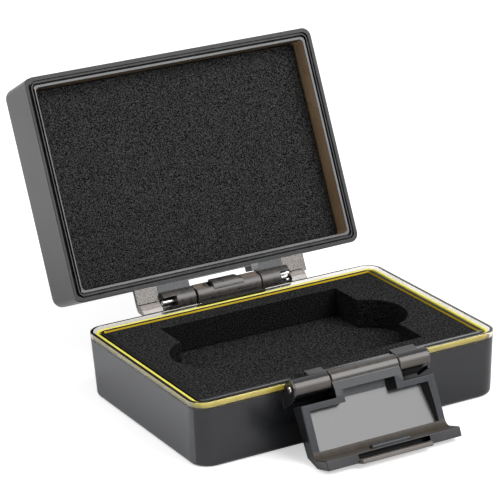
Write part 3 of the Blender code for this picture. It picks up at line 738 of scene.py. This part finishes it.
def clear_with_painted_light(name, colour, cloud_colour, roughness, share):
    """Smoke-grey plastic that lets part of the light through, its paler colour painted light."""
    made, tree, shader = new_finish(name, roughness)
    shader.inputs["Transmission Weight"].default_value = share
    shader.inputs["IOR"].default_value = 1.50
    skin = placed_effect(tree, moulded_skin, Grain=4200.0, Clouds=900.0)
    tree.links.new(blended(tree, skin["Cloud"], colour, cloud_colour),
                   shader.inputs["Base Color"])
    roughened(tree, shader, skin["Height"], 0.000006)
    return made


# Paler clear copies: painted backlight on the leaf's wings, and a painted highlight on the lobes.
leaf_clear_painted_backlight = clear_with_painted_light("leaf_clear_painted_backlight", (0.10, 0.086, 0.074), (0.20, 0.172, 0.148), 0.20, 0.45)
lobe_clear_painted_highlight = clear_with_painted_light("lobe_clear_painted_highlight", (0.38, 0.34, 0.31), (0.48, 0.44, 0.41), 0.10, 0.30)


def swung(piece, y, z, degrees):
    """Swing a closed piece about its joint to where it rests."""
    here = Matrix.Translation((0, y, z))
    piece.matrix_world = here @ Matrix.Rotation(math.radians(degrees), 4, "X") @ here.inverted()
    return at_origin(piece)


def lid_finish(face):
    """The lid's wall: painted brown glow and shade inside, dull on the rim, painted shade in a
    groove.
    """
    middle = face.center
    inset_x, inset_y = RIM_HALF_X - abs(middle.x), RIM_HALF_Y - abs(middle.y)
    inset = rim_inset(middle, LID_CORNER)
    is_opening = inset > 0.0045 and LID_RIM + 0.0008 < middle.z < LID_CEILING + 0.0001
    is_room = inset > 0.0032 and 0.0285 < middle.z < LID_CEILING + 0.0001
    if is_opening or is_room:
        return lid_inner_painted_glow if abs(face.normal.x) > 0.5 else lid_shade
    is_hinge_side = inset_y < inset_x and middle.y > 0
    is_left_side = inset_x < inset_y and middle.x < 0
    is_in_groove = LID_RIM + 0.0002 < middle.z < LID_RIM + 0.0012
    if inset < 0.0033 and middle.z < LID_RIM + 0.00005:
        return lid_band
    # A groove gets painted shade on the sides where shade falls in it, the band's finish elsewhere.
    if inset < 0.0030 and is_in_groove:
        return shade_black if is_hinge_side or is_left_side else lid_band
    if 0.0030 < inset < 0.0039 and is_in_groove:
        return lid_band if is_hinge_side else shade_black
    return lid_smoke


# The lid's profile, from the rounding of its top down the outside, over the rim and up inside.
lid_levels = []
for step in range(LID_STEPS):
    angle = math.radians(90 / (LID_STEPS - 1) * step)
    drawn_in = LID_ROUND * (1 - math.sin(angle))
    lid_levels.append((0.0014 + drawn_in, LID_TOP - LID_ROUND * (1 - math.cos(angle)),
                       0.0032 - drawn_in))
lid_levels += [(0.0011, LID_RIM + 0.0002, 0.0028), (0.0013, LID_RIM, 0.0027),
               (0.00230, LID_RIM, 0.0020), (0.00235, LID_RIM + 0.0009, 0.0020),
               (0.00280, LID_RIM + 0.0009, 0.0018), (0.00285, LID_RIM, 0.0018),
               (0.00315, LID_RIM, 0.0016), (0.00320, LID_RIM + 0.0010, 0.0016),
               (0.00368, LID_RIM + 0.0010, 0.0014), (0.00370, LID_RIM + 0.0001, 0.0014),
               (0.00380, LID_RIM, 0.0014), (0.00445, LID_RIM, 0.0013),
               (0.0046, LID_RIM + 0.00015, 0.0012), (0.0046, LID_WIDE_START, 0.0012),
               (0.0033, LID_WIDE_START, 0.0020), (0.0033, LID_CEILING, 0.0020)]
lid_shell = finished(stacked("case_lid", lid_levels), lid_smoke, lid_inner_painted_glow, lid_band, shade_black,
                     lid_shade, choice=lid_finish)

# The wall leans outwards to the left a little more than elsewhere, and there the edges of the
# rim's face stand a little further in. A fine nick crosses the rim's front near each corner.
moved(lid_shell, lambda vertex: vertex.co.x < 0 and vertex.co.z < LID_WIDE_START + 0.0001,
      -LEFT_LEAN)
for low, high in ((0.0009, 0.0014), (0.0027, 0.0039)):
    moved(lid_shell, lambda vertex: (low < RIM_HALF_X + vertex.co.x + LEFT_LEAN < high
                                     and vertex.co.z < LID_RIM + 0.0015), LEFT_INWARDS)
for place in (-0.0390, 0.0384):
    nick = block("nick", (place - 0.0002, place + 0.0002), (-0.0350, -0.0340),
                 (LID_RIM - 0.0005, LID_RIM + 0.0006))
    carved(lid_shell, finished(nick, shade_black))

# The thicker ceiling under the latch's seat, in the inner walls' painted glow, then the seat and
# the groove for the latch's ridge.
boss = block("boss", (-0.0235, 0.0235), (-0.0328, -0.0255), (0.0380, LID_CEILING + 0.0004))
merged(lid_shell, finished(boss, lid_inner_painted_glow))
seat_outline = ((SEAT_FRONT, SEAT_FLOOR - 0.0010), (-0.0346, SEAT_FLOOR - 0.0010),
                (-0.0336, SEAT_FLOOR), (SEAT_BACK, SEAT_FLOOR), (SEAT_BACK, CUT_TOP),
                (SEAT_FRONT, CUT_TOP))
seat = finished(drawn("seat", seat_outline, -SEAT_HALF, SEAT_HALF), lid_smoke)
carved(lid_shell, eased(seat, 0.0002))
ridge_room = block("ridge_room", (-0.0068, 0.0068), (-0.03245, -0.02925),
                   (SEAT_FLOOR - 0.0006, CUT_TOP))
carved(lid_shell, eased(finished(ridge_room, lid_smoke), 0.0002))

# The leaf, drawn as one plate with a clearer wing at each end, paler with painted backlight, and
# its barrels and lobes.
WING_LEFT, WING_RIGHT = -0.0226, 0.0205
near = LID_BACK - 0.0004
leaf = block("leaf", (WING_LEFT, WING_RIGHT), (near, HINGE_Y), (LEAF_BOTTOM, LEAF_TOP))
finished(leaf, leaf_smoke)
for start, end in ((-0.0301, WING_LEFT), (WING_RIGHT, 0.0284)):
    wing = block("wing", (start, end), (near, HINGE_Y), (LEAF_BOTTOM, LEAF_TOP))
    merged(leaf, eased(finished(wing, leaf_clear_painted_backlight), 0.00012))
LOBE_POINTS = ((-0.92, -0.40), (-0.58, -1.23), (-0.07, -1.99), (0.57, -2.59), (1.28, -3.04),
               (2.40, -3.21), (2.60, -2.23), (2.05, -0.93), (1.30, 0.47), (0.31, 1.02))
lobe_outline = [(HINGE_Y + out * 0.001, HINGE_Z + up * 0.001) for out, up in LOBE_POINTS]


def lobe_finish(face):
    """A lobe: painted shade on its narrow side under the leaf, clear with a painted highlight
    elsewhere.
    """
    is_under_leaf = face.center.y < HINGE_Y - 0.0006 and abs(face.normal.x) < 0.5
    return shade_black if is_under_leaf else lobe_clear_painted_highlight


for start, end in ((-0.0223, -0.0113), (0.0113, 0.0214)):
    side_barrel = barrel("side_barrel", HINGE_RADIUS, start, end, HINGE_Y, HINGE_Z, 0.0002)
    merged(leaf, finished(side_barrel, hinge_smoke))
for start, end in ((-0.0301, -0.0234), (0.0212, 0.0267)):
    lobe = drawn("lobe", lobe_outline, start, end)
    finished(lobe, lobe_clear_painted_highlight, shade_black, choice=lobe_finish)
    merged(leaf, eased(lobe, 0.00012))

# Room for the base's middle barrel, a gusset beside it, and the bore with its wider right end.
# A window in each barrel shows an end of the pin.
BORE_END = 0.02245
WINDOW_TILT = 4
opening = block("opening", (-0.0118, 0.0113), (LID_BACK + 0.0003, 0.0449), (0.0158, 0.0246))
carved(leaf, finished(opening, shade_black))
gusset_outline = ((near, LEAF_BOTTOM - 0.0001), (near, LEAF_TOP + 0.0030),
                  (HINGE_Y - 0.0036, LEAF_TOP + 0.0030), (HINGE_Y - 0.00345, LEAF_BOTTOM - 0.0001))
gusset = finished(drawn("gusset", gusset_outline, 0.0098, 0.0126), latch_gloss)
merged(leaf, eased(gusset, 0.00015))
carved(leaf, barrel("bore", BORE_RADIUS, -BORE_END, BORE_END, HINGE_Y, HINGE_Z))
carved(leaf, barrel("knurl_bore", 0.00155, 0.0180, BORE_END, HINGE_Y, HINGE_Z))
for start, end, near_side in ((-0.0230, -0.0180, -0.0015), (0.0179, 0.0215, -0.0016)):
    window = block("window", (start, end), (near_side, 0.0016), (-0.0049, 0.0003))
    window.matrix_world = (Matrix.Translation((0, HINGE_Y, HINGE_Z))
                           @ Matrix.Rotation(math.radians(WINDOW_TILT), 4, "X"))
    carved(leaf, at_origin(finished(window, hinge_smoke)))
merged(lid_shell, leaf)
swung(lid_shell, HINGE_Y, HINGE_Z, LID_ANGLE)
settled(lid_shell)
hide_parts("lid_shell")
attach(lid_shell, "lid")


# Lid foam
# One thick pad of the same foam, cut with a narrower nose that stands in the opening, so that
# it presses on the cells when the case is shut. It is stuck to the ceiling.
PAD_FACE = 0.0263
PAD_SHOULDER = 0.0281
PAD_BACK = 0.0387
lid_pad = stacked("foam_lid_pad", (
    (0.0051, PAD_FACE, 0.0010), (0.00492, PAD_FACE + 0.0001, 0.0010),
    (0.00485, PAD_FACE + 0.0003, 0.0010), (0.00485, PAD_SHOULDER, 0.0010),
    (0.0038, PAD_SHOULDER, 0.0018), (0.0036, PAD_SHOULDER + 0.0002, 0.0018),
    (0.0036, PAD_BACK - 0.0002, 0.0018), (0.0038, PAD_BACK, 0.0018)))
pad_foam = foam_finish("pad_foam", (0.002, 0.002, 0.002), (0.116, 0.116, 0.116), 2600.0)
moved(lid_pad, lambda vertex: vertex.co.x < 0 and vertex.co.z < LID_WIDE_START + 0.0001,
      -LEFT_LEAN)
finished(lid_pad, pad_foam)
boss_room = block("boss_room", (-0.0238, 0.0238), (-0.0340, -0.0252), (0.0377, 0.0400))
carved(lid_pad, finished(boss_room, pad_foam))
swung(lid_pad, HINGE_Y, HINGE_Z, LID_ANGLE)
settled(lid_pad, 40)
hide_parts("lid_foam_pad")
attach(lid_pad, "lid")


# Hinge pin
# A turned steel pin that runs through all three barrels, with a knurled end that bites in the
# right one. Both ends are chamfered and show in the barrels' windows.
PIN_RADIUS = 0.0009
KNURL_RADIUS = 0.00125
KNURL_START = 0.0183
KNURL_END = 0.0220
KNURL_TEETH = 24
TOOTH_FOOT = 0.88
turned_steel, tree, shader = new_finish("turned_steel", 0.26, 1.0)
rings = noise(tree, 900.0, 3.0, 0.6, (1.0, 0.05, 0.05))
tree.links.new(blended(tree, remap(tree, rings, 0.3, 0.7), (0.52, 0.51, 0.49), (0.72, 0.71, 0.68)),
               shader.inputs["Base Color"])
tree.links.new(remap(tree, rings, 0.3, 0.7, 0.20, 0.34), shader.inputs["Roughness"])
roughened(tree, shader, rings, 0.000006)

hinge_pin = barrel("hinge_pin_turned", PIN_RADIUS, -0.0220, 0.0182, HINGE_Y, HINGE_Z, 0.00025, 40)
knurl = barrel("knurl", KNURL_RADIUS, KNURL_START, KNURL_END, HINGE_Y, HINGE_Z,
               sides=2 * KNURL_TEETH)


def is_tooth_foot(vertex):
    """Whether a point of the knurl is one of every second line round it."""
    turn = math.atan2(vertex.co.z - HINGE_Z, vertex.co.y - HINGE_Y) / (2 * math.pi)
    return round(turn * 2 * KNURL_TEETH) % 2 == 0


pick(knurl, is_tooth_foot)
bpy.ops.transform.resize(value=(1, TOOTH_FOOT, TOOTH_FOOT), center_override=(0, HINGE_Y, HINGE_Z))
merged(hinge_pin, eased(knurl, 0.00012, 2, 70))
hinge_pin.data.materials.clear()
finished(hinge_pin, turned_steel)
swung(hinge_pin, HINGE_Y, HINGE_Z, LID_ANGLE)
settled(hinge_pin, 25)
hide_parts("hinge_pin")
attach(hinge_pin, "lid")


# Latch
# A hollow moulded lever on a barrel of its own. Its flange hooks over the lid's step, with a
# low ridge that snaps into the groove there, and ends in a thin finger lip. It hangs open here.
LATCH_HALF = 0.0218
NECK_START = -0.0103
NECK_END = 0.0118
LATCH_START = 0.0052
LATCH_ANGLE = 155.8
STRIP_RADIUS = 0.0024
STRIP_STEPS = 9

latch_satin = smoke_plastic("latch_satin", (0.020, 0.022, 0.026), (0.030, 0.032, 0.037), 0.26,
                            index=1.30)
# A brown copy of the plastic, painted as the highlight along the finger lip.
lip_painted_highlight = smoke_plastic("lip_painted_highlight", (0.070, 0.056, 0.047), (0.100, 0.082, 0.070), 0.35)
# A paler copy of the satin plastic, painted sheen on the tray's sloping floor.
tray_painted_sheen = smoke_plastic("tray_painted_sheen", (0.030, 0.031, 0.032), (0.042, 0.042, 0.043), 0.20,
                           index=1.55)
latch_brown = smoke_plastic("latch_brown", (0.030, 0.026, 0.023), (0.050, 0.043, 0.038), 0.22,
                            clouds=500.0)
strip_brown = smoke_plastic("strip_brown", (0.050, 0.042, 0.035), (0.072, 0.060, 0.050), 0.36,
                            index=1.22, clouds=400.0)
latch_pebbled = smoke_plastic("latch_pebbled", (0.016, 0.016, 0.018), (0.030, 0.030, 0.033), 0.38,
                              0.00003, 2600.0, 1.36)


def on_latch(outline):
    """Move an (out, up) outline to the closed latch's axis."""
    return [(LATCH_Y + out, LATCH_Z + up) for out, up in outline]


def ends_glossy(face):
    """Polished ends and satin sides."""
    return latch_gloss if abs(face.normal.x) > 0.9 else latch_satin


def latch_finish(face):
    """The lever has a brown strip in its hollow, a pebbled flange and glossy ends."""
    out, up = face.center.y - LATCH_Y, face.center.z - LATCH_Z
    is_end = abs(face.normal.x) > 0.5
    if 0.0032 < out < 0.0102 and 0.0183 < up < 0.0214 and not is_end:
        return strip_brown
    if out > 0.0100:
        return latch_pebbled
    return ends_glossy(face)


latch_side = [(-0.0018, LATCH_START), (-0.0004, 0.0197), (0.0035, 0.0227), (0.0037, 0.0230),
              (0.0045, 0.0232), (0.0105, 0.0242), (0.0105, 0.0213)]
for step in range(STRIP_STEPS):
    angle = math.radians(90 + 90 / (STRIP_STEPS - 1) * step)
    latch_side.append((0.0057 + STRIP_RADIUS * math.cos(angle),
                       0.0183 + STRIP_RADIUS * math.sin(angle)))
latch_side.append((0.0033, LATCH_START))
latch = drawn("latch_lever", on_latch(latch_side), -LATCH_HALF, LATCH_HALF)
eased(latch, 0.0003, 3, 40)
finished(latch, latch_satin, strip_brown, latch_pebbled, latch_gloss, choice=latch_finish)
neck_side = ((-0.0018, 0), (-0.0018, 0.0056), (0.0033, 0.0056), (0.0033, 0.0029), (0.0025, 0))
neck = drawn("neck", on_latch(neck_side), NECK_START, NECK_END)
finished(neck, latch_satin, latch_gloss, choice=ends_glossy)
merged(latch, eased(neck, 0.0002))
latch_barrel = barrel("latch_barrel", KNUCKLE_RADIUS, -0.0101, 0.0118, LATCH_Y, LATCH_Z, 0.0002)
merged(latch, finished(latch_barrel, latch_brown))

# The tray's floor slopes down to the neck, whose own floor is level, and the walls on the right
# lean inwards.
TRAY_FOLD = 0.0070
TRAY_SLOPE = 0.0017 / 0.0111
TRAY_BACK = 0.0053


def tray_finish(face, low):
    """The tray has glossy ends, a satin level floor and a sloping one with a paler painted sheen.
    """
    if abs(face.normal.x) > 0.7:
        return latch_gloss
    return latch_satin if low < face.center.z - LATCH_Z < 0.0055 else tray_painted_sheen


for start, end, levels, lean_low, lean_high in (
        (-0.0194, 0.0200, (0.0070, 0.0187), 0.0019, 0.0005),
        (-0.0078, 0.0101, (0.0033, 0.0057, 0.0074), 0.0026, 0.0026)):
    fold, high = levels[-2:]
    floor_line = [(TRAY_SLOPE * (max(level, fold) - TRAY_FOLD), level) for level in levels]
    tray_side = (*floor_line, (TRAY_BACK, high), (TRAY_BACK, levels[0]))
    tray = drawn("tray", on_latch(tray_side), start, end)
    finished(tray, tray_painted_sheen, latch_gloss, latch_satin,
             choice=lambda face: tray_finish(face, levels[0]))
    for level, lean in zip(levels, (lean_low,) * (len(levels) - 1) + (lean_high,)):
        moved(tray, lambda vertex: (vertex.co.x > 0 and vertex.co.y < LATCH_Y + 0.0040
                                    and abs(vertex.co.z - LATCH_Z - level) < 0.0001), -lean)
    carved(latch, tray)

# The ridge that snaps into the lid's groove, the finger lip with its painted brown highlight, and
# the scoop under the lip, painted black as shade.
RIDGE_RADIUS = 0.0010
RIDGE_HALF = 0.0063
LIP_HALF = 0.0126
LIP_TIP_HALF = 0.0114
SCOOP_HALF = 0.0117
ridge = barrel("ridge", RIDGE_RADIUS, -RIDGE_HALF, RIDGE_HALF, LATCH_Y + 0.00865, LATCH_Z + 0.0209,
               0.0003, 24)
merged(latch, finished(ridge, latch_satin))
lip_side = ((0.0085, 0.0240), (0.0120, 0.02465), (0.0120, 0.02330), (0.0085, 0.0230))
lip = finished(drawn("lip", on_latch(lip_side), -LIP_HALF, LIP_HALF), lip_painted_highlight)
pick(lip, lambda vertex: vertex.co.y > LATCH_Y + 0.0110)
bpy.ops.transform.resize(value=(LIP_TIP_HALF / LIP_HALF, 1, 1), center_override=(0, 0, 0))
merged(latch, eased(lip, 0.00025, 3))
scoop = block("scoop", (-SCOOP_HALF, SCOOP_HALF), (LATCH_Y + 0.0077, LATCH_Y + 0.0125),
              (LATCH_Z + 0.0216, LATCH_Z + 0.0231))
carved(latch, eased(finished(scoop, shade_black), 0.0003))
carved(latch, barrel("bore", BORE_RADIUS, -0.0130, 0.0130, LATCH_Y, LATCH_Z))
swung(latch, LATCH_Y, LATCH_Z, LATCH_ANGLE)
settled(latch)
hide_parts("latch")
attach(latch, "latch")


# Latch pin
# A plain turned steel pin with rounded ends, pressed into the end plates of the two knuckles.
# The latch's barrel turns freely on it.
latch_pin = barrel("latch_pin_turned", PIN_RADIUS, -0.0226, 0.0221, LATCH_Y, LATCH_Z)
eased(latch_pin, 0.0005, 5, 60)
settled(finished(latch_pin, turned_steel), 25)
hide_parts("latch_pin")
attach(latch_pin, "base")


# Studio
# A pale floor under plain soft light: a large softbox at the front right, a weaker one above,
# and white surroundings that the glossy plastic and the steel reflect.
FLOOR_SIZE = 4
FLOOR_Z = -0.00005
FLOOR_GLOW = 0.48
SKY_FILL = 0.36
SKY_SEEN = 1.0
# Each softbox has a direction, a distance, a size and a power in watts.
SOFTBOXES = (("front_softbox", (0.427, -0.622, 0.656), 1.0, 0.76, 10.5),
             ("top_softbox", (-0.62, 0.42, 0.66), 1.2, 0.8, 7.0))
LIGHTS_AIM = (0, 0, 0.03)
# The camera fitted to the photo: its yaw, pitch and roll in degrees, and what it looks at.
CAMERA_TURNS = (-27.8032, 19.348, -2.6081)
CAMERA_AIM = (-0.00824, 0.0073, 0.0444)
CAMERA_DISTANCE = 0.78139
FOCAL_PIXELS = 2676.1533
FRAME_PIXELS = 500
SENSOR_WIDTH = 36.0

let_go()
bpy.ops.mesh.primitive_plane_add(size=FLOOR_SIZE, location=(0, 0, FLOOR_Z))
floor = bpy.context.object
floor.name = "studio_floor"
bpy.ops.object.mode_set(mode="EDIT")
bpy.ops.mesh.subdivide(number_cuts=3)
let_go()
pale_floor, tree, shader = new_finish("pale_floor", 0.7)
soft = remap(tree, noise(tree, 30.0, 2.0), 0.3, 0.7)
tree.links.new(blended(tree, soft, (0.86, 0.86, 0.86), (0.88, 0.88, 0.88)),
               shader.inputs["Base Color"])
shader.inputs["Specular IOR Level"].default_value = 0.1
shader.inputs["Emission Color"].default_value = (1, 1, 1, 1)
seen = tree.nodes.new("ShaderNodeLightPath")
glow = maths(tree, "MAXIMUM", seen.outputs["Is Camera Ray"], seen.outputs["Is Transmission Ray"])
tree.links.new(maths(tree, "MULTIPLY", glow, FLOOR_GLOW), shader.inputs["Emission Strength"])
finished(floor, pale_floor)

surroundings = bpy.data.worlds.new("surroundings")
bpy.context.scene.world = surroundings
surroundings.use_nodes = True
tree = surroundings.node_tree
seen = tree.nodes.new("ShaderNodeLightPath")
white = maths(tree, "MAXIMUM", seen.outputs["Is Camera Ray"], seen.outputs["Is Glossy Ray"])
white = maths(tree, "MAXIMUM", white, seen.outputs["Is Transmission Ray"])
backdrop = tree.nodes["Background"]
backdrop.inputs["Color"].default_value = (1, 1, 1, 1)
tree.links.new(remap(tree, white, 0, 1, SKY_FILL, SKY_SEEN), backdrop.inputs["Strength"])

for name, direction, distance, size, watts in SOFTBOXES:
    let_go()
    towards = Vector(direction).normalized()
    bpy.ops.object.light_add(type="AREA", location=towards * distance + Vector(LIGHTS_AIM))
    lamp = bpy.context.object
    lamp.name = name
    lamp.data.shape = "SQUARE"
    lamp.data.size = size
    lamp.data.energy = watts
    lamp.rotation_euler = towards.to_track_quat("Z", "Y").to_euler()

yaw, pitch, roll = (math.radians(angle) for angle in CAMERA_TURNS)
back = Vector((math.sin(yaw) * math.cos(pitch), -math.cos(yaw) * math.cos(pitch),
               math.sin(pitch)))
right = Vector((math.cos(yaw), math.sin(yaw), 0))
up = back.cross(right)
across = math.cos(roll) * right + math.sin(roll) * up
upright = math.cos(roll) * up - math.sin(roll) * right
bpy.ops.object.camera_add()
camera = bpy.context.object
camera.name = "photo_camera"
turn = Matrix((across, upright, back)).transposed().to_4x4()
stand = Vector(CAMERA_AIM) + CAMERA_DISTANCE * back
camera.matrix_world = Matrix.Translation(stand) @ turn
camera.data.sensor_width = SENSOR_WIDTH
camera.data.lens = FOCAL_PIXELS * SENSOR_WIDTH / FRAME_PIXELS
camera.data.clip_start = 0.01
bpy.context.scene.camera = camera
bpy.context.scene.view_settings.view_transform = "Standard"
